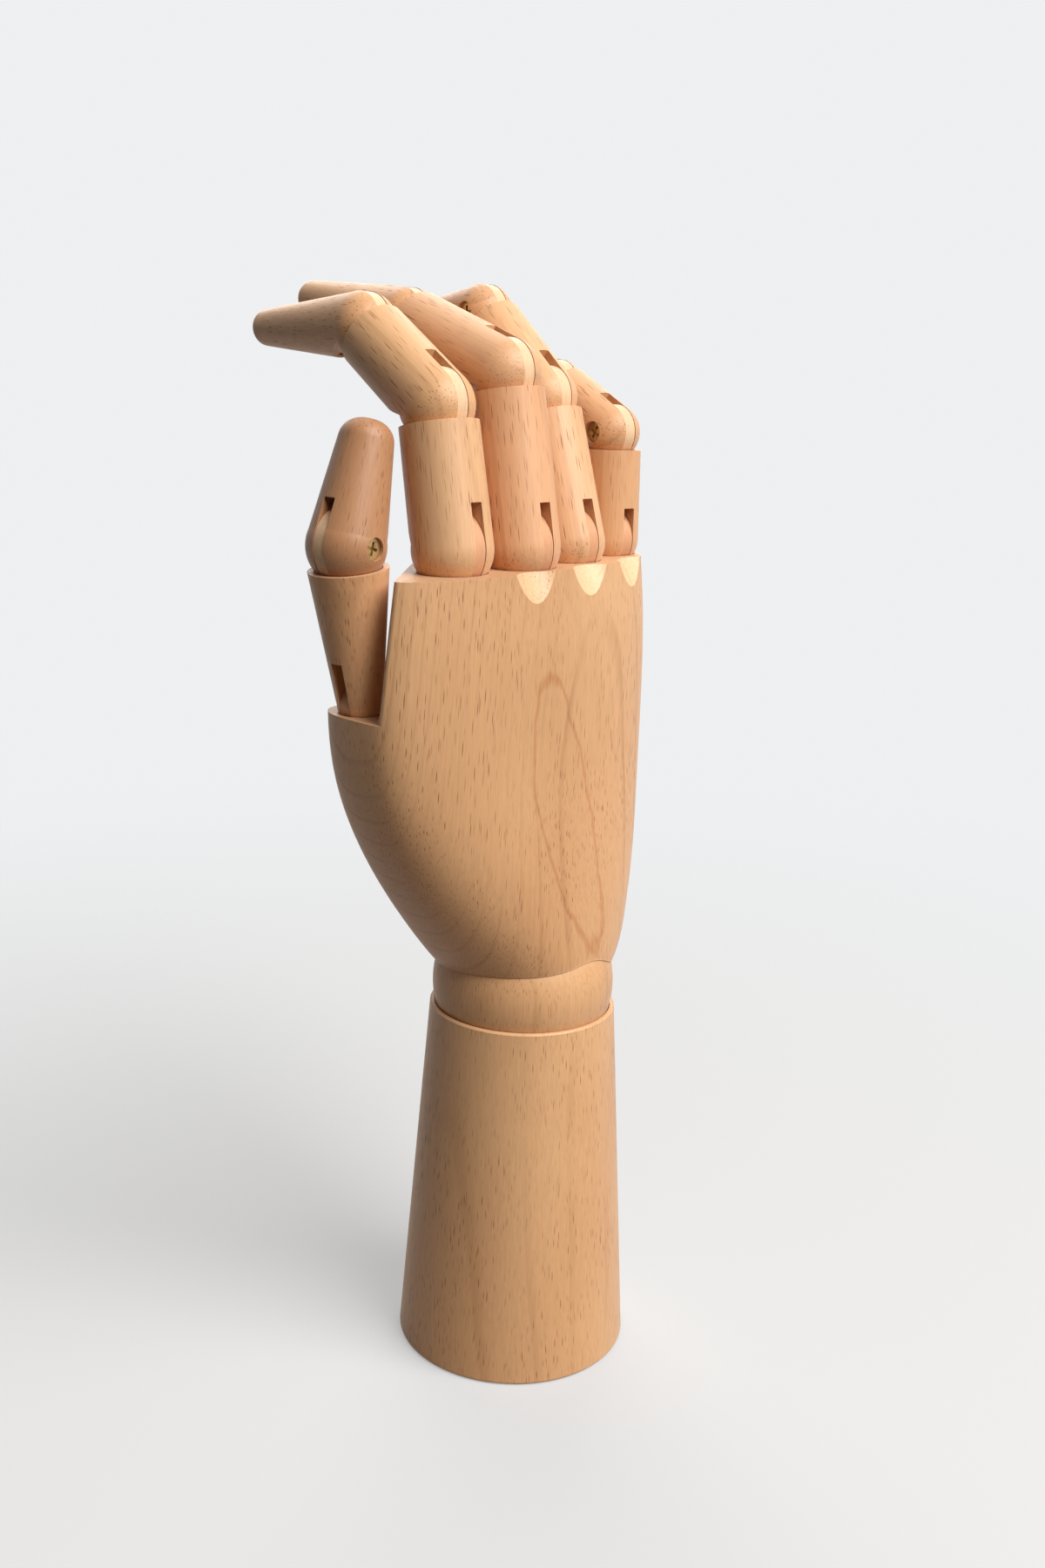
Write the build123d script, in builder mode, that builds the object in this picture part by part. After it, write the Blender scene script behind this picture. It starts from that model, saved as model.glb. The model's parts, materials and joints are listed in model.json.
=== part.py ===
# Jointed wooden hand mannequin: a right hand on a turned forearm.
# Millimetres and degrees. The origin is the centre of the forearm's underside, +Z is up,
# the thumb is on the -X side, the back of the hand faces -Y and the fingers curl towards +Y.
import os
from math import cos, pi, radians, sin, sqrt, tan

from build123d import *

os.makedirs("parts", exist_ok=True)

# Forearm: a turned cone with a dished top and a stepped bore
forearm_base_radius = 30.0
forearm_rim_radius = 23.65
forearm_height = 93.0
forearm_foot_round = 0.8
forearm_rim_chamfer = 0.35
counterbore_radius = 11.0
counterbore_depth = 34.0
plug_thickness = 6.0

# Wrist ball, seated between forearm and palm
wrist_ball_radius = 23.1
wrist_height = 98.75
wrist_gap = 0.25
ball_waist_radius = 6.2
ball_mouth_radius = 12.5

# Tension spring and its two anchors, hidden in the wrist
spring_mean_radius = 4.2
spring_wire_radius = 0.8
spring_pitch = 2.6
spring_turns = 14
quarter_turns_per_turn = 4
anchor_grip = 8.0
rod_radius = 2.5
rod_tail = 2.0
washer_radius = 8.0
washer_thickness = 1.5
nut_corner_radius = 4.6
nut_height = 4.0
nut_sides = 6
palm_anchor_length = 28.0
thread_fit = 0.05
turning_fit = 0.06
face_gap = 0.05

# Palm: sections from the wrist end up to the thumb ledge, then a slight draft to the knuckles
palm_turn = 3.0
palm_bottom = 102.0
ledge_height = 171.5
palm_top = 205.0
palm_draft = 1.8
knuckle_rise = 1.5
palm_levels = 6
palm_level_spread = 1.5
draft_levels = 3
section_points = 32
wrist_end_radial = 18.9
wrist_end_ulnar = 17.2
wrist_end_dorsal = 21.5
wrist_end_palmar = 22.4
mound_radial = 51.0
palm_ulnar = 36.4
palm_dorsal = 14.2
palm_palmar = 17.7
palm_spine_shift = -5.0
palm_spine_rise = 0.85
mound_shift = 4.5
mound_shift_swell = 0.3
mound_palmar = 16.0
radial_swell = 0.92
ulnar_swell = 0.32
thinning = 1.58
wrist_end_squareness = 2.0
palm_squareness = 2.77

# Thumb notch above the ledge: its wall runs slantwise into the hand from a corner on the back
notch_corner = (-50.95, 0.65)
notch_way = 39.0
notch_wall_lean = 5.0
notch_edge_round = 1.2

# Scooped facets on the back of the knuckle edge, beside the gaps between neighbouring fingers
scoop_radius = 9.0
scoop_height = 5.7
scoop_depth = 3.0
scoop_shift = 3.6

# Finger joints: a slotted ball end turning on a tongue in a cup
cup_gap = 0.25
seat_drop = 4.2
knuckle_drop = 4.5
tongue_thickness = 3.0
slot_gap = 0.15
tongue_set_in = 0.3
slot_head_room = 0.4
stem_width = 8.0
thumb_stem_width = 6.0
mortise_depth = 10.0
glue_gap = 0.04
relief_rise = 3.0
relief_angle = 25.0
shaft_taper = 0.3
joint_step = 0.45
tip_radius = 4.2
tip_round = 3.0

# Joint screws
screw_radius = 1.25
screw_head_radius = 2.5
screw_head_height = 1.5
screw_sink = 1.0
screw_end_cover = 2.6
screw_cross_width = 0.7
screw_cross_length = 3.2
screw_cross_depth = 0.9
screw_hole_fit = 0.03
screw_recess_fit = 0.12

# Each finger: knuckle place, turn of its bending plane, ball radius at the knuckle, segment
# lengths from hinge to hinge, and how far each joint is bent. The screws go in from one side.
fingers = {
    "index": {
        "knuckle": (-27.2, 0.7),
        "turn": -1.0,
        "radius": 9.6,
        "lengths": (32.6, 30.9, 39.6),
        "bends": (11.0, 45.4, 34.5),
        "screw_side": 1,
    },
    "middle": {
        "knuckle": (-7.7, -2.0),
        "turn": 0.0,
        "radius": 9.3,
        "lengths": (40.2, 37.2, 40.9),
        "bends": (10.7, 60.4, 11.0),
        "screw_side": 1,
    },
    "ring": {
        "knuckle": (10.9, 0.2),
        "turn": 1.5,
        "radius": 8.7,
        "lengths": (35.7, 30.4, 36.0),
        "bends": (17.2, 32.1, 47.0),
        "screw_side": -1,
    },
    "little": {
        "knuckle": (28.1, 3.5),
        "turn": 4.0,
        "radius": 7.8,
        "lengths": (26.2, 24.0, 28.0),
        "bends": (0.4, 62.0, 18.0),
        "screw_side": -1,
    },
}

# Thumb: it bends across the palm, towards the index finger
thumb_inset = 6.5
thumb_offset = 12.2
thumb_turn = 82.5
thumb_ledge_drop = 2.2
thumb_slot_room = 6.0
thumb_seat_drop = 5.2
thumb_base_radius = 5.4
thumb_rim_radius = 9.3
thumb_tip_ball = 9.2
thumb_tip_radius = 5.8
thumb_tip_round = 5.1
thumb_lengths = (37.0, 28.6)
thumb_bends = (-7.7, 22.4)
thumb_screw_sides = (-1, 1)


def save(piece, name):
    piece.part.label = name
    export_step(piece.part, f"parts/{name}.step")


# The frame of a segment: origin on its lower hinge, x along the hinge, y towards the palm side
# of the bend and z along the segment.
def segment_plane(hinge, turn, lean):
    hinge_axis = Vector(cos(radians(turn)), -sin(radians(turn)), 0)
    bend_way = Vector(sin(radians(turn)), cos(radians(turn)), 0)
    along = bend_way * sin(radians(lean)) + Vector(0, 0, 1) * cos(radians(lean))
    return Plane(origin=hinge, x_dir=hinge_axis, z_dir=along)


# The plane a segment bends in: sketch x towards the palm side, sketch y along the segment
def bending_plane(plane):
    return Plane(origin=plane.origin, x_dir=plane.y_dir, z_dir=plane.x_dir)


def segment_axis(plane):
    return Axis(plane.origin, plane.z_dir)


# The screw's plane: origin on the hinge, z out of the side that its head is on
def screw_plane(plane, side):
    return Plane(origin=plane.origin, x_dir=plane.y_dir, z_dir=plane.x_dir * side)


def tongue_radius(ball):
    return ball - tongue_set_in


def screw_face(ball):
    return sqrt(ball**2 - screw_head_radius**2) - screw_sink + face_gap


def screw_end(ball):
    return -(ball - screw_end_cover)


# A turned shaft from the hinge up, with the palm side cut back so that the joint can close
def turn_shaft(plane, outline, radius):
    with BuildSketch(bending_plane(plane)) as half_outline:
        with BuildLine():
            Polyline((0, 0), (radius, 0), *outline, close=True)
        make_face()
    revolve(half_outline.sketch, axis=segment_axis(plane))
    relief_start = radius + relief_rise
    reach = 2 * radius
    rise = (reach - radius) / tan(radians(relief_angle))
    heel = radius - relief_start * tan(radians(relief_angle))
    with BuildSketch(bending_plane(plane)) as relief:
        with BuildLine():
            Polyline((heel, 0), (reach, 0), (reach, relief_start + rise), close=True)
        make_face()
    extrude(relief.sketch, amount=reach, both=True, mode=Mode.SUBTRACT)


# The ball end with its slot for the tongue and the hole and recess for the screw
def fork_end(plane, radius, side, room=slot_head_room):
    Sphere(radius)
    slot_top = tongue_radius(radius) + room
    slot_bottom = -2 * radius
    with Locations((0, 0, (slot_top + slot_bottom) / 2)):
        Box(
            tongue_thickness + 2 * slot_gap,
            4 * radius,
            slot_top - slot_bottom,
            mode=Mode.SUBTRACT,
        )
    with BuildSketch(screw_plane(plane, side).offset(screw_end(radius))) as hole:
        Circle(screw_radius + screw_hole_fit)
    extrude(hole.sketch, amount=2 * radius, mode=Mode.SUBTRACT)
    with BuildSketch(screw_plane(plane, side).offset(screw_face(radius) - screw_head_height)) as recess:
        Circle(screw_head_radius + screw_recess_fit)
    extrude(recess.sketch, amount=radius, mode=Mode.SUBTRACT)


# The cup and mortise in the top of a piece that carries the next segment
def cut_seat(seat, ball, drop, width):
    with Locations(seat):
        Sphere(ball + cup_gap, mode=Mode.SUBTRACT)
    stem_bottom = -(drop + mortise_depth)
    with Locations(seat.offset(stem_bottom / 2 - glue_gap)):
        Box(
            tongue_thickness + 2 * glue_gap,
            width + 2 * glue_gap,
            -stem_bottom,
            mode=Mode.SUBTRACT,
        )


def make_tongue(name, seat, ball, drop, width):
    stem_bottom = -(drop + mortise_depth)
    with BuildPart() as tongue:
        with BuildSketch(bending_plane(seat)):
            Circle(tongue_radius(ball))
            with Locations((0, stem_bottom / 2)):
                Rectangle(width, -stem_bottom)
            Circle(screw_radius + turning_fit, mode=Mode.SUBTRACT)
        extrude(amount=tongue_thickness / 2, both=True)
    save(tongue, name)


def make_screw(name, plane, ball, side):
    face = screw_face(ball)
    with BuildPart() as screw:
        with BuildSketch(screw_plane(plane, side).offset(screw_end(ball) + face_gap)):
            Circle(screw_radius)
        extrude(amount=face - screw_end(ball) - face_gap - screw_head_height / 2)
        with BuildSketch(screw_plane(plane, side).offset(face - screw_head_height + face_gap)):
            Circle(screw_head_radius)
        extrude(amount=screw_head_height - face_gap)
        with BuildSketch(screw_plane(plane, side).offset(face)):
            Rectangle(screw_cross_length, screw_cross_width)
            Rectangle(screw_cross_width, screw_cross_length)
        extrude(amount=-screw_cross_depth, mode=Mode.SUBTRACT)
    save(screw, name)


def make_segment(
    name, plane, length, radius, top_radius, next_ball, side, room=slot_head_room, drop=seat_drop
):
    rim = length - drop
    with BuildPart(plane) as segment:
        turn_shaft(plane, ((top_radius, rim), (0, rim)), radius)
        fork_end(plane, radius, side, room)
    with BuildPart() as seated:
        add(segment.part)
        cut_seat(plane.offset(length), next_ball, drop, stem_width)
    save(seated, name)


def make_tip(name, plane, length, radius, end_radius, end_round, side):
    with BuildPart(plane) as tip:
        turn_shaft(plane, ((end_radius, length), (0, length)), radius)
        end_edge = tip.edges().sort_by(segment_axis(plane))[-1]
        fillet(end_edge, end_round)
        fork_end(plane, radius, side)
    save(tip, name)


# Palm sections: half widths and depths ease from the wrist end to the ledge
def ease(height, power):
    share = (min(height, ledge_height) - palm_bottom) / (ledge_height - palm_bottom)
    return sin(share * pi / 2) ** power


def blend(start, end, share):
    return start + (end - start) * share


# How far the sides have drawn in at a height above the ledge, slowly at first
def draw_in(height):
    return palm_draft * (max(0.0, height - ledge_height) / (palm_top - ledge_height)) ** 2


# The middle of a section, its reach to the four sides and how square it is
def section_sizes(height):
    middle = Vector(palm_spine_shift * ease(height, 1), palm_spine_rise * ease(height, 1))
    radial = blend(wrist_end_radial, mound_radial, ease(height, radial_swell)) + middle.X
    ulnar = blend(wrist_end_ulnar, palm_ulnar, ease(height, ulnar_swell)) - middle.X
    dorsal = blend(wrist_end_dorsal, palm_dorsal, ease(height, thinning)) + middle.Y
    palmar = blend(wrist_end_palmar, palm_palmar, ease(height, thinning)) - middle.Y
    reaches = [reach - draw_in(height) for reach in (radial, ulnar, dorsal, palmar)]
    return middle, reaches, blend(wrist_end_squareness, palm_squareness, ease(height, 1))


# A rounded section. Its thumb end is shifted towards the palm side and swells out there.
def palm_section(height):
    middle, (radial, ulnar, dorsal, palmar), power = section_sizes(height)
    points = []
    for step in range(section_points):
        angle = 2 * pi * step / section_points
        wide = abs(cos(angle)) ** (2 / power)
        deep = abs(sin(angle)) ** (2 / power)
        out = ulnar * wide if cos(angle) > 0 else -radial * wide
        off = palmar * deep if sin(angle) > 0 else -dorsal * deep
        if cos(angle) < 0:
            off += mound_shift * ease(height, mound_shift_swell) * wide**2
        if cos(angle) < 0 and sin(angle) > 0:
            off += mound_palmar * ease(height, 1) * wide**2 * deep
        points.append((middle.X + out, middle.Y + off))
    return points


# The back of the top section, at a distance across the hand
def back_edge(across):
    middle, (radial, ulnar, dorsal, _), power = section_sizes(palm_top)
    wide = abs(across - middle.X) / (ulnar if across > middle.X else radial)
    shift = mound_shift * wide**2 if across < middle.X else 0.0
    return middle.Y - dorsal * (1 - wide**power) ** (1 / power) + shift


# Above the ledge the sections tip, so that the knuckle face rises towards the little finger
def palm_plane(height):
    tip_share = max(0.0, height - ledge_height) / (palm_top - ledge_height)
    return Plane.XY.offset(height).rotated((0, -knuckle_rise * tip_share, palm_turn))


# The axis of a scoop: it runs down and out through the back of the knuckle edge, and the
# scoop's floor drops by its height while it goes out by its depth.
def scoop_plane(between):
    frame = palm_plane(palm_top)
    across = frame.to_local_coords(between + Vector(0, 0, palm_top)).X + scoop_shift
    slope = (back_edge(across + scoop_depth) - back_edge(across - scoop_depth)) / (2 * scoop_depth)
    outward = Vector(slope, -1, 0).normalized()
    upward = Vector(0, 0, 1)
    downhill = (outward * scoop_depth - upward * scoop_height).normalized()
    lift = (outward * scoop_height + upward * scoop_depth).normalized()
    centre = Vector(across, back_edge(across), 0) - outward * scoop_depth + lift * scoop_radius
    return Plane(
        origin=frame.from_local_coords(centre),
        z_dir=frame.from_local_coords(centre + downhill) - frame.from_local_coords(centre),
    )


def palm_face(height):
    with BuildSketch(palm_plane(height)) as section:
        with BuildLine():
            Spline(*palm_section(height), periodic=True)
        make_face()
    return section.sketch


palm_heights = [
    blend(palm_bottom, ledge_height, (step / palm_levels) ** palm_level_spread)
    for step in range(palm_levels + 1)
]
draft_heights = [
    blend(ledge_height, palm_top, (step + 1) / draft_levels) for step in range(draft_levels)
]

# The whole hand hangs on these frames: one at every hinge, each leaning by the bends so far
def finger_frames(hinge, turn, lengths, bends):
    frames = []
    lean = 0.0
    for length, bend in zip(lengths, bends):
        lean += bend
        frames.append(segment_plane(hinge, turn, lean))
        hinge = frames[-1].offset(length).origin
    return frames


def knuckle_seat(finger):
    return segment_plane(Vector(*finger["knuckle"], palm_top + knuckle_drop), finger["turn"], 0)


thumb_hinge = Vector(thumb_inset - mound_radial, thumb_offset, ledge_height + thumb_ledge_drop)
thumb_seat = segment_plane(thumb_hinge, thumb_turn, 0)
wrist_centre = Vector(0, 0, wrist_height)

with BuildPart() as forearm:
    with BuildSketch(Plane.XZ):
        with BuildLine():
            Polyline(
                (0, 0),
                (forearm_base_radius, 0),
                (forearm_rim_radius, forearm_height),
                (0, forearm_height),
                close=True,
            )
        make_face()
    revolve(axis=Axis.Z)
    fillet(forearm.edges().sort_by(Axis.Z)[0], forearm_foot_round)
    chamfer(forearm.edges().sort_by(Axis.Z)[-1], forearm_rim_chamfer)
    with Locations(wrist_centre):
        Sphere(wrist_ball_radius + wrist_gap, mode=Mode.SUBTRACT)
    with BuildSketch(Plane.XY):
        Circle(counterbore_radius)
    extrude(amount=counterbore_depth, mode=Mode.SUBTRACT)
    with BuildSketch(Plane.XY):
        Circle(rod_radius + turning_fit)
    extrude(amount=wrist_height, mode=Mode.SUBTRACT)
save(forearm, "forearm")

with BuildPart() as base_plug:
    with BuildSketch(Plane.XY):
        Circle(counterbore_radius - glue_gap)
    extrude(amount=plug_thickness)
save(base_plug, "base_plug")

# The ball's hole flares both ways from a waist, so that the spring and its anchors can swing
mouth_height = sqrt(wrist_ball_radius**2 - ball_mouth_radius**2)
with BuildPart() as wrist_ball:
    with BuildSketch(Plane(origin=wrist_centre, x_dir=(1, 0, 0), z_dir=(0, -1, 0))):
        with BuildLine():
            ThreePointArc(
                (ball_mouth_radius, -mouth_height),
                (wrist_ball_radius, 0),
                (ball_mouth_radius, mouth_height),
            )
            Polyline(
                (ball_mouth_radius, mouth_height),
                (ball_waist_radius, 0),
                (ball_mouth_radius, -mouth_height),
            )
        make_face()
    revolve(axis=Axis.Z)
save(wrist_ball, "wrist_ball")

spring_height = spring_pitch * spring_turns
spring_bottom = wrist_height - spring_height / 2
plug_radius = spring_mean_radius - spring_wire_radius - thread_fit


# A point of the spring's helix and the direction of the wire there
def spring_point(turns):
    angle = 2 * pi * turns
    return Vector(
        spring_mean_radius * cos(angle),
        spring_mean_radius * sin(angle),
        spring_bottom + spring_pitch * turns,
    )


def spring_direction(turns):
    angle = 2 * pi * turns
    rise = spring_pitch / (2 * pi)
    return Vector(-spring_mean_radius * sin(angle), spring_mean_radius * cos(angle), rise).normalized()


# Two arcs that leave one point and reach the next in the given directions
def draw_biarc(start, start_way, end, end_way):
    chord = end - start
    ways = start_way + end_way
    closing = 2 * (1 - start_way.dot(end_way))
    half_turn = chord.dot(ways)
    reach = (sqrt(half_turn**2 + closing * chord.dot(chord)) - half_turn) / closing
    first_corner = start + start_way * reach
    second_corner = end - end_way * reach
    middle = (first_corner + second_corner) / 2
    TangentArc(start, middle, tangent=start_way)
    TangentArc(middle, end, tangent=second_corner - first_corner)


with BuildPart() as wrist_spring:
    with BuildLine() as coil:
        for quarter in range(spring_turns * quarter_turns_per_turn):
            start = quarter / quarter_turns_per_turn
            end = (quarter + 1) / quarter_turns_per_turn
            draw_biarc(
                spring_point(start), spring_direction(start), spring_point(end), spring_direction(end)
            )
    with BuildSketch(Plane(origin=spring_point(0), z_dir=spring_direction(0))):
        Circle(spring_wire_radius)
    sweep(path=coil.wire())
save(wrist_spring, "wrist_spring")
print("gap between spring turns", round(spring_pitch - 2 * spring_wire_radius, 2))

# Lower anchor: the spring is screwed onto the rod's head, and the rod turns on its washer
washer_bottom = counterbore_depth - washer_thickness
nut_top = washer_bottom - face_gap
nut_bottom = nut_top - nut_height
with BuildPart() as spring_rod:
    with BuildSketch(Plane.XY.offset(spring_bottom)):
        Circle(plug_radius)
    extrude(amount=anchor_grip)
    with BuildSketch(Plane.XY.offset(nut_bottom - rod_tail)):
        Circle(rod_radius)
    extrude(amount=spring_bottom - nut_bottom + rod_tail)
save(spring_rod, "spring_rod")

with BuildPart() as rod_washer:
    with BuildSketch(Plane.XY.offset(washer_bottom)):
        Circle(washer_radius)
        Circle(rod_radius + turning_fit, mode=Mode.SUBTRACT)
    extrude(amount=washer_thickness)
save(rod_washer, "rod_washer")

with BuildPart() as rod_nut:
    with BuildSketch(Plane.XY.offset(nut_bottom)):
        RegularPolygon(nut_corner_radius, nut_sides)
        Circle(rod_radius + thread_fit, mode=Mode.SUBTRACT)
    extrude(amount=nut_height)
save(rod_nut, "rod_nut")

# Upper anchor: the spring is screwed onto its foot, and its shank into the palm
spring_top = spring_bottom + spring_height
socket_top = wrist_height + wrist_ball_radius + wrist_gap
anchor_top = socket_top + palm_anchor_length
with BuildPart() as palm_anchor:
    with BuildSketch(Plane.XY.offset(spring_top - anchor_grip)):
        Circle(plug_radius)
    extrude(amount=anchor_grip)
    with BuildSketch(Plane.XY.offset(spring_top)):
        Circle(rod_radius)
    extrude(amount=anchor_top - spring_top)
save(palm_anchor, "palm_anchor")

# What is taken away for the thumb: all above the ledge and beyond the slanting wall
notch_reach = 2 * mound_radial
with BuildPart() as thumb_notch:
    with BuildSketch(palm_plane(ledge_height)):
        with Locations(notch_corner):
            Rectangle(
                2 * notch_reach, notch_reach, rotation=notch_way, align=(Align.CENTER, Align.MIN)
            )
    extrude(amount=palm_top - ledge_height + face_gap, taper=-notch_wall_lean)

with BuildPart() as palm:
    loft([palm_face(height) for height in palm_heights + draft_heights])
    add(thumb_notch.part, mode=Mode.SUBTRACT)
    notch_middle = palm_plane(blend(ledge_height, palm_top, 1 / 2))
    fillet(
        palm.edges().sort_by_distance(notch_middle.from_local_coords(notch_corner))[0],
        notch_edge_round,
    )
    with Locations(wrist_centre):
        Sphere(wrist_ball_radius + wrist_gap, mode=Mode.SUBTRACT)
    with BuildSketch(Plane.XY.offset(wrist_height)):
        Circle(rod_radius + thread_fit)
    extrude(amount=anchor_top + face_gap - wrist_height, mode=Mode.SUBTRACT)
    for finger in fingers.values():
        cut_seat(knuckle_seat(finger), finger["radius"], knuckle_drop, stem_width)
    cut_seat(thumb_seat, thumb_base_radius, thumb_ledge_drop, thumb_stem_width)
    knuckles = [Vector(*finger["knuckle"]) for finger in fingers.values()]
    for one, other in zip(knuckles, knuckles[1:]):
        with BuildSketch(scoop_plane((one + other) / 2)):
            Circle(scoop_radius)
        extrude(amount=2 * scoop_height, both=True, mode=Mode.SUBTRACT)
save(palm, "palm")

for name, finger in fingers.items():
    seat = knuckle_seat(finger)
    side = finger["screw_side"]
    frames = finger_frames(seat.origin, finger["turn"], finger["lengths"], finger["bends"])
    ball = finger["radius"]
    make_tongue(f"{name}_knuckle_tongue", seat, ball, knuckle_drop, stem_width)
    make_screw(f"{name}_knuckle_screw", frames[0], ball, side)
    for part_name, joint_name, frame, length in zip(
        ("base", "middle"), ("middle", "tip"), frames, finger["lengths"]
    ):
        next_ball = ball - shaft_taper - joint_step
        make_segment(f"{name}_{part_name}", frame, length, ball, ball - shaft_taper, next_ball, side)
        make_tongue(f"{name}_{joint_name}_tongue", frame.offset(length), next_ball, seat_drop, stem_width)
        ball = next_ball
    make_screw(f"{name}_middle_screw", frames[1], finger["radius"] - shaft_taper - joint_step, side)
    make_screw(f"{name}_tip_screw", frames[2], ball, side)
    make_tip(f"{name}_tip", frames[2], finger["lengths"][2], ball, tip_radius, tip_round, side)

thumb_frames = finger_frames(thumb_seat.origin, thumb_turn, thumb_lengths, thumb_bends)
make_tongue("thumb_base_tongue", thumb_seat, thumb_base_radius, thumb_ledge_drop, thumb_stem_width)
make_screw("thumb_base_screw", thumb_frames[0], thumb_base_radius, thumb_screw_sides[0])
make_segment(
    "thumb_base",
    thumb_frames[0],
    thumb_lengths[0],
    thumb_base_radius,
    thumb_rim_radius,
    thumb_tip_ball,
    thumb_screw_sides[0],
    thumb_slot_room,
    thumb_seat_drop,
)
make_tongue(
    "thumb_tip_tongue",
    thumb_frames[0].offset(thumb_lengths[0]),
    thumb_tip_ball,
    thumb_seat_drop,
    stem_width,
)
make_screw("thumb_tip_screw", thumb_frames[1], thumb_tip_ball, thumb_screw_sides[1])
make_tip(
    "thumb_tip",
    thumb_frames[1],
    thumb_lengths[1],
    thumb_tip_ball,
    thumb_tip_radius,
    thumb_tip_round,
    thumb_screw_sides[1],
)
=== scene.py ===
import json
import math
import bpy
import bmesh
from mathutils import Euler, Matrix, Vector


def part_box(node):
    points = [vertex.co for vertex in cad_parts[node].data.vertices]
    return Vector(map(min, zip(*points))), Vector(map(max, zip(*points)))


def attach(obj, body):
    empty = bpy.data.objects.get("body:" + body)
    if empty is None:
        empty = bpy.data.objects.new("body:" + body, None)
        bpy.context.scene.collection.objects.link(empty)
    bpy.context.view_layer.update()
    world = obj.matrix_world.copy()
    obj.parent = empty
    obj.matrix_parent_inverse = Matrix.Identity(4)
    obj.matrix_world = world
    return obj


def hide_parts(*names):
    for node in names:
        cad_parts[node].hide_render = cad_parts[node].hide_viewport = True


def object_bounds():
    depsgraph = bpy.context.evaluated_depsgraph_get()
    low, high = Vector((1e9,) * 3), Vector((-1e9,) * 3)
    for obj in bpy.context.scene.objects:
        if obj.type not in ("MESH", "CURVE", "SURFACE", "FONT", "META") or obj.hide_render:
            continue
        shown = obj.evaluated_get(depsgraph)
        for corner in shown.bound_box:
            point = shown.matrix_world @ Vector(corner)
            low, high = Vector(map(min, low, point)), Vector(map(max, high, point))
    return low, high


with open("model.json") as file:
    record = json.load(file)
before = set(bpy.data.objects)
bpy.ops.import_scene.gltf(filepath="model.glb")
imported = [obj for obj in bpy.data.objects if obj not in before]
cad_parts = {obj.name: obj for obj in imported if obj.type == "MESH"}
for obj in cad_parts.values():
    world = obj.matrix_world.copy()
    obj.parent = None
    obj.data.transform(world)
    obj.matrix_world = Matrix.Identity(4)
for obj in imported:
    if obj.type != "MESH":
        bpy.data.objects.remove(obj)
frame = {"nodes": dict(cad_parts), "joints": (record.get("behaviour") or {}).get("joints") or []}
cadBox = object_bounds()
cadNodes = frame["nodes"]
hinges = {joint["name"]: joint for joint in frame["joints"]}
print("frame loaded:", len(cadNodes), "solids")

scene = bpy.context.scene
scene.view_settings.view_transform = "Standard"
oneMillimetre = 0.001
fingerNames = ["index", "middle", "ring", "little"]


# node helpers shared by every material
def addNode(tree, kind, inputs, **settings):
    node = tree.nodes.new(kind)
    for name, value in settings.items():
        setattr(node, name, value)
    for socket, value in inputs.items():
        if isinstance(value, bpy.types.NodeSocket):
            tree.links.new(value, node.inputs[socket])
        else:
            node.inputs[socket].default_value = value
    return node


def calc(tree, operation, first, second=0.0):
    return addNode(tree, "ShaderNodeMath", {0: first, 1: second}, operation=operation).outputs[0]


def stretch(tree, place, factors):
    return addNode(tree, "ShaderNodeVectorMath", {0: place, 1: factors}, operation="MULTIPLY").outputs[0]


def fade(tree, value, start, end, low=0.0, high=1.0):
    ends = {"Value": value, "From Min": start, "From Max": end, "To Min": low, "To Max": high}
    return addNode(tree, "ShaderNodeMapRange", ends, interpolation_type="SMOOTHSTEP").outputs[0]


def mixColour(tree, factor, first, second, how="MIX"):
    ends = {0: factor, 6: first, 7: second}
    return addNode(tree, "ShaderNodeMix", ends, data_type="RGBA", blend_type=how).outputs[2]


def rgba(colour):
    return (*colour, 1.0)


def tinted(tree, factor, colour, tint):
    return mixColour(tree, factor, colour, mixColour(tree, 1.0, colour, rgba(tint), "MULTIPLY"))


def dotProduct(tree, first, second):
    ends = {0: first, 1: second}
    return addNode(tree, "ShaderNodeVectorMath", ends, operation="DOT_PRODUCT").outputs["Value"]


def lengthOf(tree, place):
    return addNode(tree, "ShaderNodeVectorMath", {0: place}, operation="LENGTH").outputs["Value"]


def noise(tree, place, detail=2.0, roughness=0.5):
    ends = {"Vector": place, "Scale": 1.0, "Detail": detail, "Roughness": roughness}
    return addNode(tree, "ShaderNodeTexNoise", ends).outputs[0]


# turned beech: growth layers, fibre, pore flecks and slow changes of tone, z along the grain
# texture sizes are turns per millimetre; Shown, Streak and Range give a fade's two ends and its results
beechGrain = {
    "warp": (0.03, 0.03, 0.008),  # slow wander of the growth layers
    "warpReach": 2.6,
    "ripple": (0.16, 0.16, 0.02),
    "rippleReach": 0.5,
    "layerLine": (0.72, 0.93, 0.99),  # late wood starts, is darkest and stops, as a share of a layer
    "layerMask": (0.035, 0.035, 0.012),
    "layerShown": (0.35, 0.6, 0.15, 1.0),
    "fibre": (2.2, 2.2, 0.05),
    "fibreStreak": (0.3, 0.7, 1.05, 0.94),
    "fibreHeight": 0.35,
    "fineFibre": (6.0, 6.0, 0.25),
    "fineStreak": (0.3, 0.7, 1.03, 0.965),
    "fineHeight": 0.25,
    "pores": (2.1, 2.1, 0.13),  # short dark flecks along the grain
    "poreSize": (0.12, 0.34),
    "poreDrop": 0.22,  # share of the flecks left out
    "poreRange": (0.0, 1.0, 0.4, 1.0),
    "poreMask": (0.05, 0.05, 0.02),
    "poreShown": (0.35, 0.6, 0.35, 1.0),
    "poreTint": (0.46, 0.32, 0.23),
    "poreRoughness": 0.22,
    "tone": (0.024, 0.024, 0.012),
    "toneShown": (0.35, 0.65),
    "toneTint": (0.93, 0.88, 0.84),
    "roughnessRange": (0.25, 0.75, 0.42, 0.54),
}


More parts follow.
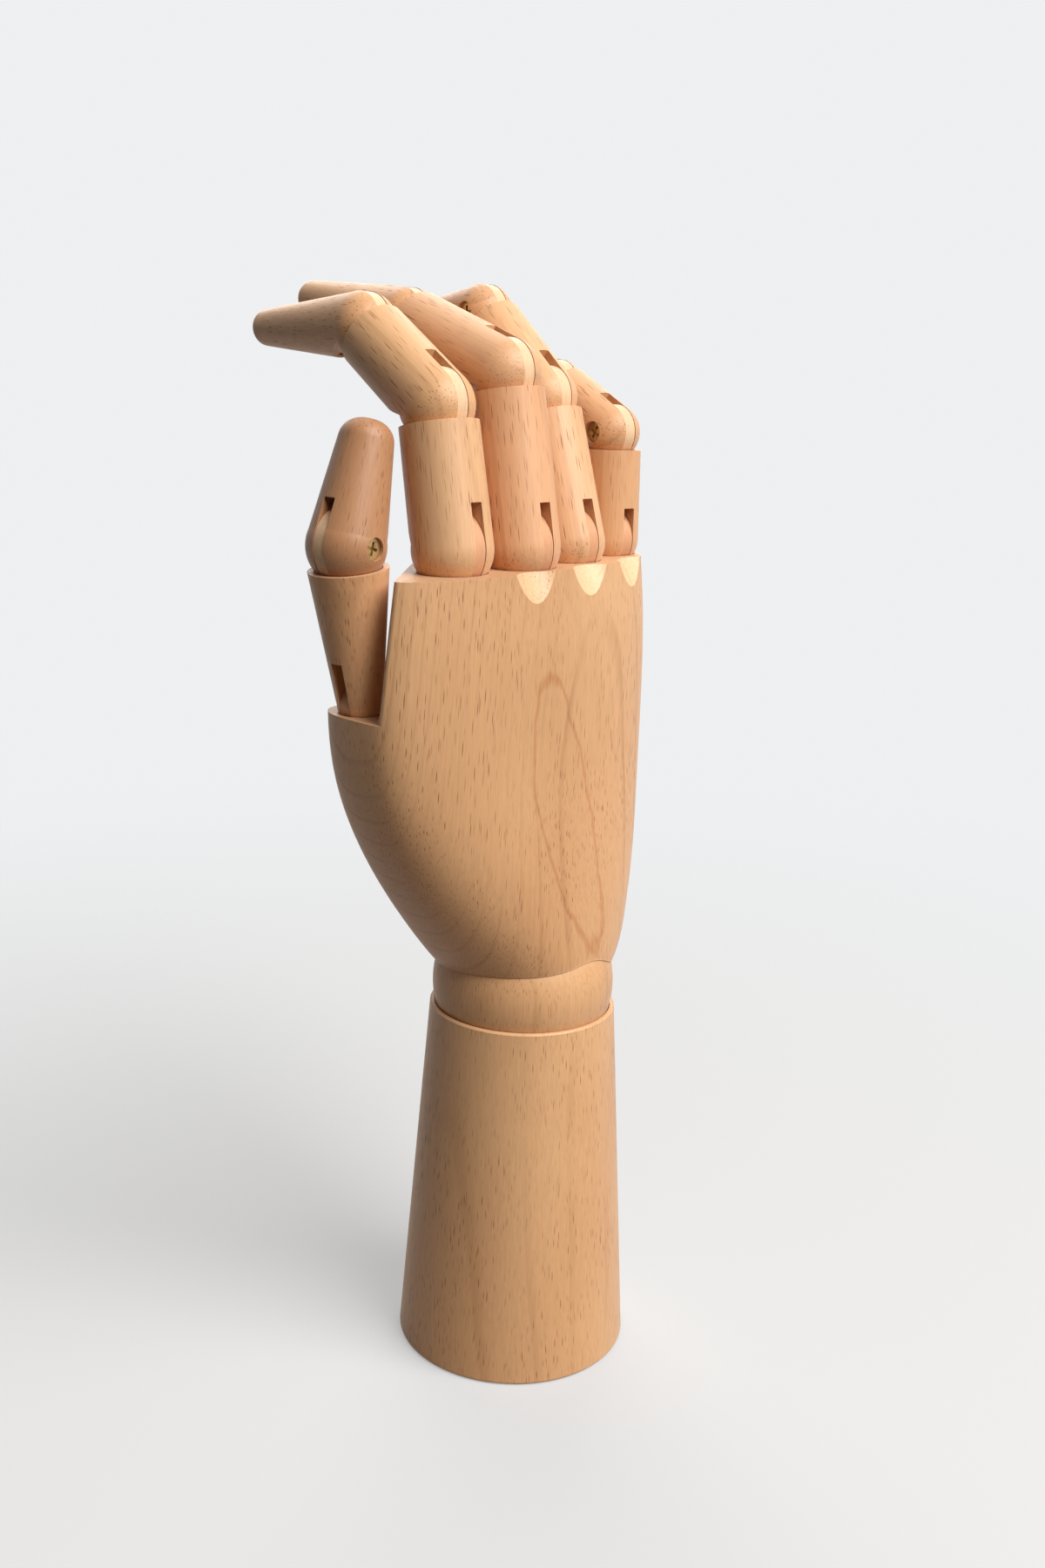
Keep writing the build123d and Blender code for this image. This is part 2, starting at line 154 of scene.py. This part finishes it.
def makeBeechGroup(sizes):
    tree = bpy.data.node_groups.new("beechGrain", "ShaderNodeTree")
    for name, kind in [("place", "Vector"), ("pale", "Color"), ("dark", "Color"), ("layerWidth", "Float"),
                       ("layerStrength", "Float"), ("layerBend", "Vector"), ("layerDepth", "Float"),
                       ("pores", "Float")]:
        tree.interface.new_socket(name, in_out="INPUT", socket_type="NodeSocket" + kind)
    for name, kind in [("colour", "Color"), ("roughness", "Float"), ("height", "Float")]:
        tree.interface.new_socket(name, in_out="OUTPUT", socket_type="NodeSocket" + kind)
    given = tree.nodes.new("NodeGroupInput").outputs
    place = given["place"]

    def grainNoise(name, **settings):
        return noise(tree, stretch(tree, place, sizes[name]), **settings)

    across = addNode(tree, "ShaderNodeSeparateXYZ", {0: place}).outputs[1]
    bent = stretch(tree, place, given["layerBend"])
    bowed = dotProduct(tree, bent, bent)
    wander = calc(tree, "MULTIPLY", grainNoise("warp"), sizes["warpReach"])
    ripple = calc(tree, "MULTIPLY", grainNoise("ripple"), sizes["rippleReach"])
    depth = calc(tree, "ADD", calc(tree, "MULTIPLY", across, given["layerDepth"]), bowed)
    depth = calc(tree, "ADD", depth, calc(tree, "ADD", wander, ripple))
    layer = calc(tree, "FRACT", calc(tree, "DIVIDE", depth, given["layerWidth"]))
    starts, darkest, stops = sizes["layerLine"]
    lateWood = calc(tree, "MULTIPLY", fade(tree, layer, starts, darkest), fade(tree, layer, stops, darkest))
    shown = fade(tree, grainNoise("layerMask"), *sizes["layerShown"])
    lateWood = calc(tree, "MULTIPLY", calc(tree, "MULTIPLY", lateWood, shown), given["layerStrength"])

    fibre = grainNoise("fibre", detail=3.0, roughness=0.6)
    fineFibre = grainNoise("fineFibre")
    ends = {"Vector": stretch(tree, place, sizes["pores"]), "Scale": 1.0}
    pores = addNode(tree, "ShaderNodeTexVoronoi", ends)
    drop = addNode(tree, "ShaderNodeSeparateColor", {0: pores.outputs["Color"]}).outputs
    fleck = fade(tree, pores.outputs["Distance"], sizes["poreSize"][1], sizes["poreSize"][0])
    fleck = calc(tree, "MULTIPLY", fleck, calc(tree, "GREATER_THAN", drop[0], sizes["poreDrop"]))
    fleck = calc(tree, "MULTIPLY", fleck, fade(tree, drop[1], *sizes["poreRange"]))
    crowd = fade(tree, grainNoise("poreMask"), *sizes["poreShown"])
    fleck = calc(tree, "MULTIPLY", calc(tree, "MULTIPLY", fleck, crowd), given["pores"])

    colour = mixColour(tree, lateWood, given["pale"], given["dark"])
    slow = fade(tree, grainNoise("tone"), *sizes["toneShown"])
    colour = tinted(tree, slow, colour, sizes["toneTint"])
    streak = fade(tree, fibre, *sizes["fibreStreak"])
    streak = calc(tree, "MULTIPLY", streak, fade(tree, fineFibre, *sizes["fineStreak"]))
    streaks = addNode(tree, "ShaderNodeCombineColor", {0: streak, 1: streak, 2: streak}).outputs[0]
    colour = mixColour(tree, 1.0, colour, streaks, "MULTIPLY")
    colour = tinted(tree, fleck, colour, sizes["poreTint"])
    rough = fade(tree, fibre, *sizes["roughnessRange"])
    rough = calc(tree, "ADD", rough, calc(tree, "MULTIPLY", fleck, sizes["poreRoughness"]))
    height = calc(tree, "SUBTRACT", calc(tree, "MULTIPLY", fineFibre, sizes["fineHeight"]), fleck)
    height = calc(tree, "ADD", height, calc(tree, "MULTIPLY", fibre, sizes["fibreHeight"]))
    addNode(tree, "NodeGroupOutput", {"colour": colour, "roughness": rough, "height": height})
    return tree


beechGroup = makeBeechGroup(beechGrain)


def startMaterial(name):
    material = bpy.data.materials.new(name)
    material.use_nodes = True
    tree = material.node_tree
    return material, tree, tree.nodes["Principled BSDF"]


def shine(shader, roughness=None, metallic=0.0, specular=0.4, coat=0.0, coatRoughness=0.3, sheen=0.0):
    shader.inputs["Metallic"].default_value = metallic
    shader.inputs["Specular IOR Level"].default_value = specular
    shader.inputs["Coat Weight"].default_value = coat
    shader.inputs["Coat Roughness"].default_value = coatRoughness
    shader.inputs["Sheen Weight"].default_value = sheen
    if roughness is not None:
        shader.inputs["Roughness"].default_value = roughness


def bump(tree, shader, height, strength, distance):
    ends = {"Height": height, "Strength": strength, "Distance": distance}
    tree.links.new(addNode(tree, "ShaderNodeBump", ends).outputs[0], shader.inputs["Normal"])


def paint(nodeName, material):
    slots = cadNodes[nodeName].data.materials
    slots.clear()
    slots.append(material)


# how the wood of each piece lies: z along the grain, x along the hinge pin
def grainSpace(start, end, pinWay, turn):
    along = (end - start).normalized()
    side = (pinWay - along * pinWay.dot(along)).normalized()
    facing = Matrix((side, along.cross(side), along)).transposed()
    return start, (facing @ Matrix.Rotation(math.radians(turn), 3, "Z")).to_euler()


def hingePoint(joint):
    return Vector(hinges[joint]["pos_m"])


def farEnd(nodeName, start):
    corners = [vertex.co for vertex in cadNodes[nodeName].data.vertices]
    return max(corners, key=lambda corner: (corner - start).length)


def segmentSpace(nodeName, joint, nextJoint, turn):
    start = hingePoint(joint)
    end = hingePoint(nextJoint) if nextJoint else farEnd(nodeName, start)
    return grainSpace(start, end, Vector(hinges[joint]["axis"]), turn)


beechColours = {"pale": (0.71, 0.412, 0.212), "dark": (0.47, 0.235, 0.100)}
beechFinish = {"specular": 0.45, "coat": 0.04, "coatRoughness": 0.36, "sheen": 0.14}
# painted highlight along sharp edges, in patches
edgeHighlight = {
    "radius": 0.0006, "samples": 6, "start": 0.03, "end": 0.22, "tint": (1.10, 1.16, 1.24), "roughness": 0.1,
    "patch": 0.35, "patchShown": (0.3, 0.6, 0.35, 1.0),
}
beechBump = {"strength": 0.35, "distance": 0.00006}


# painted highlight along edges, in patches: where the rounded normal turns away from the true one
def paintedEdgeHighlight(tree, place, wear):
    ends = {"Radius": wear["radius"]}
    rounded = addNode(tree, "ShaderNodeBevel", ends, samples=wear["samples"]).outputs[0]
    flat = tree.nodes.new("ShaderNodeNewGeometry").outputs["Normal"]
    same = dotProduct(tree, rounded, flat)
    edge = fade(tree, calc(tree, "SUBTRACT", 1.0, same), wear["start"], wear["end"])
    patches = fade(tree, noise(tree, stretch(tree, place, (wear["patch"],) * 3)), *wear["patchShown"])
    return calc(tree, "MULTIPLY", edge, patches)


def beechMaterial(name, space, tint, layers, extra=None):
    material, tree, shader = startMaterial(name)
    spot = tree.nodes.new("ShaderNodeTexCoord").outputs
    start, turned = space
    mapped = addNode(tree, "ShaderNodeMapping", {
        "Vector": spot["Object"], "Location": start, "Rotation": turned, "Scale": (oneMillimetre,) * 3,
    }, vector_type="TEXTURE").outputs[0]
    grain = addNode(tree, "ShaderNodeGroup", {}, node_tree=beechGroup)
    tree.links.new(mapped, grain.inputs["place"])
    for tone, colour in beechColours.items():
        grain.inputs[tone].default_value = rgba([part * share for part, share in zip(colour, tint)])
    for layer, value in layers.items():
        grain.inputs[layer].default_value = value
    colour = grain.outputs["colour"]
    if extra:
        colour = extra(tree, spot, colour)
    # painted highlight along the edges
    edgeLit = paintedEdgeHighlight(tree, mapped, edgeHighlight)
    colour = tinted(tree, edgeLit, colour, edgeHighlight["tint"])
    tree.links.new(colour, shader.inputs["Base Color"])
    rough = calc(tree, "MULTIPLY", edgeLit, edgeHighlight["roughness"])
    rough = calc(tree, "ADD", grain.outputs["roughness"], rough)
    tree.links.new(rough, shader.inputs["Roughness"])
    shine(shader, **beechFinish)
    bump(tree, shader, grain.outputs["height"], **beechBump)
    return material


# fingers and thumb: each turned piece is cut from another stick, so its tone and its layers differ; the
# thumb tip's darker tone is partly darker wood and partly painted shadow of the index finger
fingerWood = {
    "index_base": {"tint": (1.0, 0.99, 0.98), "turn": 20},
    "index_middle": {"tint": (1.0, 0.98, 0.93), "turn": 75},
    "index_tip": {"tint": (1.0, 0.97, 0.92), "turn": 140},
    "middle_base": {"tint": (1.02, 0.93, 0.92), "turn": 50},
    "middle_middle": {"tint": (1.0, 0.94, 0.92), "turn": 10},
    "middle_tip": {"tint": (1.0, 0.97, 0.94), "turn": 110},
    "ring_base": {"tint": (1.05, 1.05, 1.08), "turn": 95},
    "ring_middle": {"tint": (1.02, 0.99, 0.97), "turn": 30},
    "ring_tip": {"tint": (1.02, 0.99, 0.98), "turn": 160},
    "little_base": {"tint": (0.97, 0.89, 0.84), "turn": 65},
    "little_middle": {"tint": (1.02, 0.98, 0.96), "turn": 120},
    "little_tip": {"tint": (1.0, 0.97, 0.93), "turn": 5},
    "thumb_base": {"tint": (0.92, 0.83, 0.76), "turn": 35},
    # thumb tip: darker wood plus painted shadow cast by the index finger
    "thumb_tip": {"tint": (0.60, 0.49, 0.42), "turn": 80},
}
segmentLayers = {
    "layerWidth": 3.4, "layerStrength": 0.42, "layerBend": (0.09, 0.0, 0.02), "layerDepth": 0.55,
    "pores": 1.4,
}
segmentOrder = {
    **{finger: [("base", "knuckle"), ("middle", "middle"), ("tip", "tip")] for finger in fingerNames},
    "thumb": [("base", "base"), ("tip", "tip")],
}
for finger, order in segmentOrder.items():
    for step, (piece, hinge) in enumerate(order):
        nodeName = f"{finger}_{piece}"
        nextHinge = f"{finger}_{order[step + 1][1]}_bend" if step + 1 < len(order) else None
        look = fingerWood[nodeName]
        space = segmentSpace(nodeName, f"{finger}_{hinge}_bend", nextHinge, look["turn"])
        paint(nodeName, beechMaterial(nodeName + "Beech", space, look["tint"], segmentLayers))
print("finger and thumb pieces painted")

# palm: flat-sawn back with one long grain loop, a painted highlight on the upward-facing scoop cuts and
# painted shade towards the thumb, in metres
palmWood = {
    "tint": (1.0, 0.99, 0.96), "middle": (0.007, 0.0, 0.143), "lean": (0.0, 3.0, 3.0),
    "layers": {
        "layerWidth": 4.6, "layerStrength": 0.5, "layerBend": (0.135, 0.0, 0.036), "layerDepth": 0.06,
        "pores": 1.2,
    },
    # painted highlight on the scoop cuts, lighter where they face up
    "scoopStart": 0.1955, "scoopHighlightTint": (1.22, 1.40, 1.62),
    "scoopHighlightSlope": [(0.16, 0.24), (0.86, 0.78)],  # upward share of the normal where the cuts begin and end
    # painted shade: a band across the thumb side of the back of the palm
    "paintedShadeSide": (0.022, -0.012), "paintedShadeEdge": (-0.056, -0.036), "paintedShadeTint": (0.84, 0.80, 0.75),
    "loopPlace": (-0.0029, 0.0, 0.1455), "loopLean": -11.0, "loopReach": (0.0088, 1.0, 0.0350),
    "loopRipple": (0.9, 1.0, 1.9), "loopWander": 0.7, "loopLine": (0.085, 0.0), "loopStart": (0.3, 0.8),
    "loopEnd": (2.3, 0.9), "loopTint": (0.85, 0.73, 0.62), "loopBack": (0.002, -0.006),
}


# nested lines of one growth layer that the back of the palm cuts lengthwise
def grainLoop(tree, spot, look):
    mapped = addNode(tree, "ShaderNodeMapping", {
        "Vector": spot["Object"], "Location": look["loopPlace"],
        "Rotation": (0.0, math.radians(look["loopLean"]), 0.0), "Scale": look["loopReach"],
    }, vector_type="TEXTURE").outputs[0]
    flat = stretch(tree, mapped, (1.0, 0.0, 1.0))
    reach = lengthOf(tree, flat)
    wander = noise(tree, stretch(tree, flat, look["loopRipple"]), detail=3.0)
    wander = calc(tree, "SUBTRACT", wander, 0.5)
    reach = calc(tree, "ADD", reach, calc(tree, "MULTIPLY", wander, look["loopWander"]))
    turn = calc(tree, "SUBTRACT", calc(tree, "FRACT", calc(tree, "ADD", reach, 0.5)), 0.5)
    line = fade(tree, calc(tree, "ABSOLUTE", turn), *look["loopLine"])
    line = calc(tree, "MULTIPLY", line, fade(tree, reach, *look["loopStart"]))
    return calc(tree, "MULTIPLY", line, fade(tree, reach, *look["loopEnd"]))


# painted shade darkens the block a little towards the thumb, and a painted highlight lightens the scoop cuts
# where they face up
def palmGrainShadeAndHighlight(tree, spot, colour):
    across, inward, height = addNode(tree, "ShaderNodeSeparateXYZ", {0: spot["Object"]}).outputs
    paintedShade = fade(tree, across, *palmWood["paintedShadeSide"])
    paintedShade = calc(tree, "MULTIPLY", paintedShade, fade(tree, across, *palmWood["paintedShadeEdge"]))
    colour = tinted(tree, paintedShade, colour, palmWood["paintedShadeTint"])
    loop = calc(tree, "MULTIPLY", grainLoop(tree, spot, palmWood), fade(tree, inward, *palmWood["loopBack"]))
    colour = tinted(tree, loop, colour, palmWood["loopTint"])
    # painted highlight where the scoop cuts face up
    lift = addNode(tree, "ShaderNodeSeparateXYZ", {0: spot["Normal"]}).outputs[2]
    begin, stop = palmWood["scoopHighlightSlope"]
    sloped = calc(tree, "MULTIPLY", fade(tree, lift, *begin), fade(tree, lift, *stop))
    scoopHighlight = calc(tree, "MULTIPLY", sloped, calc(tree, "GREATER_THAN", height, palmWood["scoopStart"]))
    return tinted(tree, scoopHighlight, colour, palmWood["scoopHighlightTint"])


palmLean = Euler([math.radians(part) for part in palmWood["lean"]])
palmSpace = (Vector(palmWood["middle"]), palmLean)
paint("palm", beechMaterial("palmBeech", palmSpace, palmWood["tint"], palmWood["layers"], palmGrainShadeAndHighlight))
print("palm painted")

# forearm, its plug and the wrist ball, turned between centres with the grain upright
uprightWood = {
    "forearm": {"tint": (0.97, 0.95, 0.90), "turn": 35, "layers": {
        "layerWidth": 5.0, "layerStrength": 0.34, "layerBend": (0.09, 0.0, 0.014), "layerDepth": 0.3,
        "pores": 1.2}},
    "wrist_ball": {"tint": (0.95, 0.92, 0.86), "turn": 60, "layers": {
        "layerWidth": 3.6, "layerStrength": 0.4, "layerBend": (0.09, 0.0, 0.02), "layerDepth": 0.4,
        "pores": 0.8}},
    "base_plug": {"tint": (0.90, 0.84, 0.78), "turn": 70, "layers": {
        "layerWidth": 2.2, "layerStrength": 0.6, "layerBend": (0.06, 0.0, 0.01), "layerDepth": 1.0,
        "pores": 0.8}},
}
for nodeName, look in uprightWood.items():
    low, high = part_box(nodeName)
    middle = (low + high) / 2
    upright = grainSpace(middle, middle + Vector((0, 0, 1)), Vector((1, 0, 0)), look["turn"])
    paint(nodeName, beechMaterial(nodeName + "Beech", upright, look["tint"], look["layers"]))
print("forearm and wrist painted")

# hinge tongues: sawn from paler wood in the fingers, rosier in the palm
tongueTints = {"finger": (1.12, 1.26, 1.45), "palm": (0.94, 0.80, 0.80)}
tongueLayers = {
    "layerWidth": 1.6, "layerStrength": 0.3, "layerBend": (0.04, 0.0, 0.01), "layerDepth": 1.0,
    "pores": 0.4,
}
tongues = {f"{finger}_{name}_tongue": f"{finger}_{name}_bend"
           for finger in fingerNames for name in ("knuckle", "middle", "tip")}
tongues.update({"thumb_base_tongue": "thumb_base_bend", "thumb_tip_tongue": "thumb_tip_bend"})
for nodeName, joint in tongues.items():
    kind = "palm" if nodeName.endswith("knuckle_tongue") or nodeName == "thumb_base_tongue" else "finger"
    low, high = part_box(nodeName)
    start = (low + high) / 2
    space = grainSpace(start, hingePoint(joint), Vector(hinges[joint]["axis"]), 0)
    paint(nodeName, beechMaterial(nodeName + "Wood", space, tongueTints[kind], tongueLayers))
print("hinge tongues painted")

# metal: dulled brass pins, plain steel in the wrist
brassLook = {
    "bright": (0.72, 0.52, 0.24), "tarnish": (0.38, 0.25, 0.11), "patch": 0.5, "scratch": (9.0, 9.0, 1.2),
}
steelLook = {
    "bright": (0.52, 0.52, 0.51), "tarnish": (0.30, 0.29, 0.27), "patch": 0.3, "scratch": (1.2, 8.0, 8.0),
}
metalFinish = {
    "patchShown": (0.35, 0.65), "roughnessRange": (0.0, 1.0, 0.3, 0.5), "scratchRoughness": 0.12,
    "bump": {"strength": 0.2, "distance": 0.00002},
}


def metalMaterial(name, look):
    material, tree, shader = startMaterial(name)
    spot = tree.nodes.new("ShaderNodeTexCoord").outputs["Object"]
    place = stretch(tree, spot, (1.0 / oneMillimetre,) * 3)
    patches = noise(tree, stretch(tree, place, (look["patch"],) * 3), detail=4.0, roughness=0.6)
    patches = fade(tree, patches, *metalFinish["patchShown"])
    scratches = noise(tree, stretch(tree, place, look["scratch"]), detail=3.0)
    colour = mixColour(tree, patches, rgba(look["bright"]), rgba(look["tarnish"]))
    tree.links.new(colour, shader.inputs["Base Color"])
    rough = fade(tree, patches, *metalFinish["roughnessRange"])
    rough = calc(tree, "ADD", rough, calc(tree, "MULTIPLY", scratches, metalFinish["scratchRoughness"]))
    tree.links.new(rough, shader.inputs["Roughness"])
    shine(shader, metallic=1.0, specular=0.5)
    bump(tree, shader, scratches, **metalFinish["bump"])
    return material


brass = metalMaterial("dulledBrass", brassLook)
steel = metalMaterial("springSteel", steelLook)
for nodeName in cadNodes:
    if nodeName.endswith("_screw"):
        paint(nodeName, brass)
for nodeName in ["wrist_spring", "spring_rod", "rod_washer", "rod_nut", "palm_anchor"]:
    paint(nodeName, steel)
print("metal painted")

# wrist spring: the wire wound as a true spiral, its ends capped
springSizes = {"wireRadius": 0.8, "turns": 14.0, "stepsPerTurn": 28, "wireSides": 14}


def makeSpringTree():
    tree = bpy.data.node_groups.new("wristSpringWinding", "GeometryNodeTree")
    for name, kind in [("Mean radius", "Float"), ("Wire radius", "Float"), ("Turns", "Float"),
                       ("Length", "Float"), ("Start height", "Float"), ("Steps per turn", "Int"),
                       ("Wire sides", "Int")]:
        tree.interface.new_socket(name, in_out="INPUT", socket_type="NodeSocket" + kind)
    tree.interface.new_socket("Wire", in_out="OUTPUT", socket_type="NodeSocketGeometry")
    given = tree.nodes.new("NodeGroupInput").outputs
    spiral = addNode(tree, "GeometryNodeCurveSpiral", {
        "Resolution": given["Steps per turn"], "Rotations": given["Turns"],
        "Start Radius": given["Mean radius"], "End Radius": given["Mean radius"], "Height": given["Length"],
    }).outputs[0]
    ring = addNode(tree, "GeometryNodeCurvePrimitiveCircle", {
        "Resolution": given["Wire sides"], "Radius": given["Wire radius"],
    }).outputs[0]
    wire = addNode(tree, "GeometryNodeCurveToMesh", {
        "Curve": spiral, "Profile Curve": ring, "Fill Caps": True,
    }).outputs[0]
    lift = addNode(tree, "ShaderNodeCombineXYZ", {2: given["Start height"]}).outputs[0]
    placed = addNode(tree, "GeometryNodeTransform", {"Geometry": wire, "Translation": lift}).outputs[0]
    realised = addNode(tree, "GeometryNodeRealizeInstances", {0: placed}).outputs[0]
    finished = addNode(tree, "GeometryNodeSetMaterial", {"Geometry": realised, "Material": steel}).outputs[0]
    addNode(tree, "NodeGroupOutput", {"Wire": finished})
    return tree


def windSpring(sizes):
    low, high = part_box("wrist_spring")
    wireRadius = sizes["wireRadius"] * oneMillimetre
    values = {
        "Mean radius": (high.x - low.x) / 2 - wireRadius, "Wire radius": wireRadius,
        "Turns": sizes["turns"], "Length": high.z - low.z - 2 * wireRadius,
        "Start height": low.z + wireRadius,
        "Steps per turn": sizes["stepsPerTurn"], "Wire sides": sizes["wireSides"],
    }
    holder = bpy.data.objects.new("springHolder", bpy.data.meshes.new("springHolder"))
    scene.collection.objects.link(holder)
    modifier = holder.modifiers.new("winding", "NODES")
    modifier.node_group = makeSpringTree()
    for item in modifier.node_group.interface.items_tree:
        if item.in_out == "INPUT":
            modifier[item.identifier] = values[item.name]
    bpy.context.view_layer.update()
    wound = bpy.data.meshes.new_from_object(holder.evaluated_get(bpy.context.evaluated_depsgraph_get()))
    bpy.data.objects.remove(holder)
    for face in wound.polygons:
        face.use_smooth = True
    spring = bpy.data.objects.new("wrist_spring_wire", wound)
    scene.collection.objects.link(spring)
    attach(spring, "wrist_core")
    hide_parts("wrist_spring")


windSpring(springSizes)
print("wrist spring wound")

# floor, light and camera
floorLook = {
    "radius": 3.0, "segments": 96, "drop": 0.0001, "fadeStart": 0.10, "fadeEnd": 0.62,
    "colour": (0.34, 0.34, 0.34), "glow": 0.42, "bounce": (0.22, 0.17, 0.12),
    "finish": {"roughness": 0.85, "specular": 0.15},
}
backdropColour = (0.86, 0.868, 0.88)
ambientLook = {"colour": (1.0, 0.86, 0.64), "strength": 0.03}


def seenDirectly(tree):
    path = tree.nodes.new("ShaderNodeLightPath").outputs
    seen = calc(tree, "MAXIMUM", path["Is Camera Ray"], path["Is Glossy Ray"])
    return calc(tree, "MAXIMUM", seen, path["Is Transmission Ray"])


def makeFloor(look):
    mesh = bpy.data.meshes.new("floor")
    form = bmesh.new()
    bmesh.ops.create_circle(form, cap_ends=True, segments=look["segments"], radius=look["radius"])
    form.to_mesh(mesh)
    form.free()
    floor = bpy.data.objects.new("floor", mesh)
    scene.collection.objects.link(floor)
    floor.location.z = cadBox[0][2] - look["drop"]
    material, tree, shader = startMaterial("paleFloor")
    seen = seenDirectly(tree)
    colour = mixColour(tree, seen, rgba(look["bounce"]), rgba(look["colour"]))
    tree.links.new(colour, shader.inputs["Base Color"])
    shader.inputs["Emission Color"].default_value = rgba(backdropColour)
    tree.links.new(calc(tree, "MULTIPLY", seen, look["glow"]), shader.inputs["Emission Strength"])
    shine(shader, **look["finish"])
    spot = tree.nodes.new("ShaderNodeTexCoord").outputs["Object"]
    reach = lengthOf(tree, spot)
    clear = tree.nodes.new("ShaderNodeBsdfTransparent").outputs[0]
    away = fade(tree, reach, look["fadeStart"], look["fadeEnd"])
    mixed = addNode(tree, "ShaderNodeMixShader", {0: away, 1: shader.outputs[0], 2: clear}).outputs[0]
    tree.links.new(mixed, tree.nodes["Material Output"].inputs["Surface"])
    mesh.materials.append(material)


def makeWorld(look):
    world = bpy.data.worlds.new("studio")
    scene.world = world
    world.use_nodes = True
    tree = world.node_tree
    tree.nodes.clear()
    ends = {"Color": rgba(look["colour"]), "Strength": look["strength"]}
    ambient = addNode(tree, "ShaderNodeBackground", ends).outputs[0]
    ends = {"Color": rgba(backdropColour), "Strength": 1.0}
    shown = addNode(tree, "ShaderNodeBackground", ends).outputs[0]
    mixed = addNode(tree, "ShaderNodeMixShader", {0: seenDirectly(tree), 1: ambient, 2: shown}).outputs[0]
    addNode(tree, "ShaderNodeOutputWorld", {"Surface": mixed})


# soft lamps, each given by its turn from the camera, height angle, distance, size and strength
lamps = {
    "window": {
        "side": 53, "height": 46, "distance": 1.6, "size": 1.3, "watts": 46.0, "colour": (1.0, 0.99, 0.975),
    },
    "room": {
        "side": -172, "height": 38, "distance": 1.6, "size": 1.4, "watts": 15.0, "colour": (1.0, 0.97, 0.93),
    },
}
photoCamera = {
    "azimuth": -45.0, "pitch": 14.268, "roll": 2.027, "place": (-0.27639, -0.27380, 0.24898),
    "lens": 37.0, "sensor": 36.0, "near": 0.01,
}
lookAt = Vector((0.0, 0.0, 0.16))


def makeLamps():
    toCamera = Vector((*photoCamera["place"][:2], 0.0)).normalized()
    for name, look in lamps.items():
        way = Matrix.Rotation(math.radians(look["side"]), 3, "Z") @ toCamera
        rise = math.radians(look["height"])
        way = way * math.cos(rise) + Vector((0, 0, math.sin(rise)))
        lamp = bpy.data.lights.new(name, "AREA")
        lamp.size = look["size"]
        lamp.energy = look["watts"]
        lamp.color = look["colour"]
        holder = bpy.data.objects.new(name, lamp)
        holder.location = lookAt + way * look["distance"]
        holder.rotation_euler = way.to_track_quat("Z", "Y").to_euler()
        scene.collection.objects.link(holder)


def makeCamera(shot):
    turn, pitch, roll = (math.radians(shot[key]) for key in ("azimuth", "pitch", "roll"))
    right = Vector((math.cos(turn), math.sin(turn), 0.0))
    ahead = Vector((-math.sin(turn), math.cos(turn), 0.0))
    forward = ahead * math.cos(pitch) - Vector((0, 0, math.sin(pitch)))
    up = ahead * math.sin(pitch) + Vector((0, 0, math.cos(pitch)))
    rolledRight = right * math.cos(roll) + up * math.sin(roll)
    rolledUp = up * math.cos(roll) - right * math.sin(roll)
    lens = bpy.data.cameras.new("photoCamera")
    lens.lens = shot["lens"]
    lens.sensor_width = shot["sensor"]
    lens.clip_start = shot["near"]
    camera = bpy.data.objects.new("photoCamera", lens)
    facing = Matrix((rolledRight, rolledUp, -forward)).transposed().to_4x4()
    camera.matrix_world = Matrix.Translation(shot["place"]) @ facing
    scene.collection.objects.link(camera)
    scene.camera = camera


makeFloor(floorLook)
makeWorld(ambientLook)
makeLamps()
makeCamera(photoCamera)
print("floor, light and camera placed")
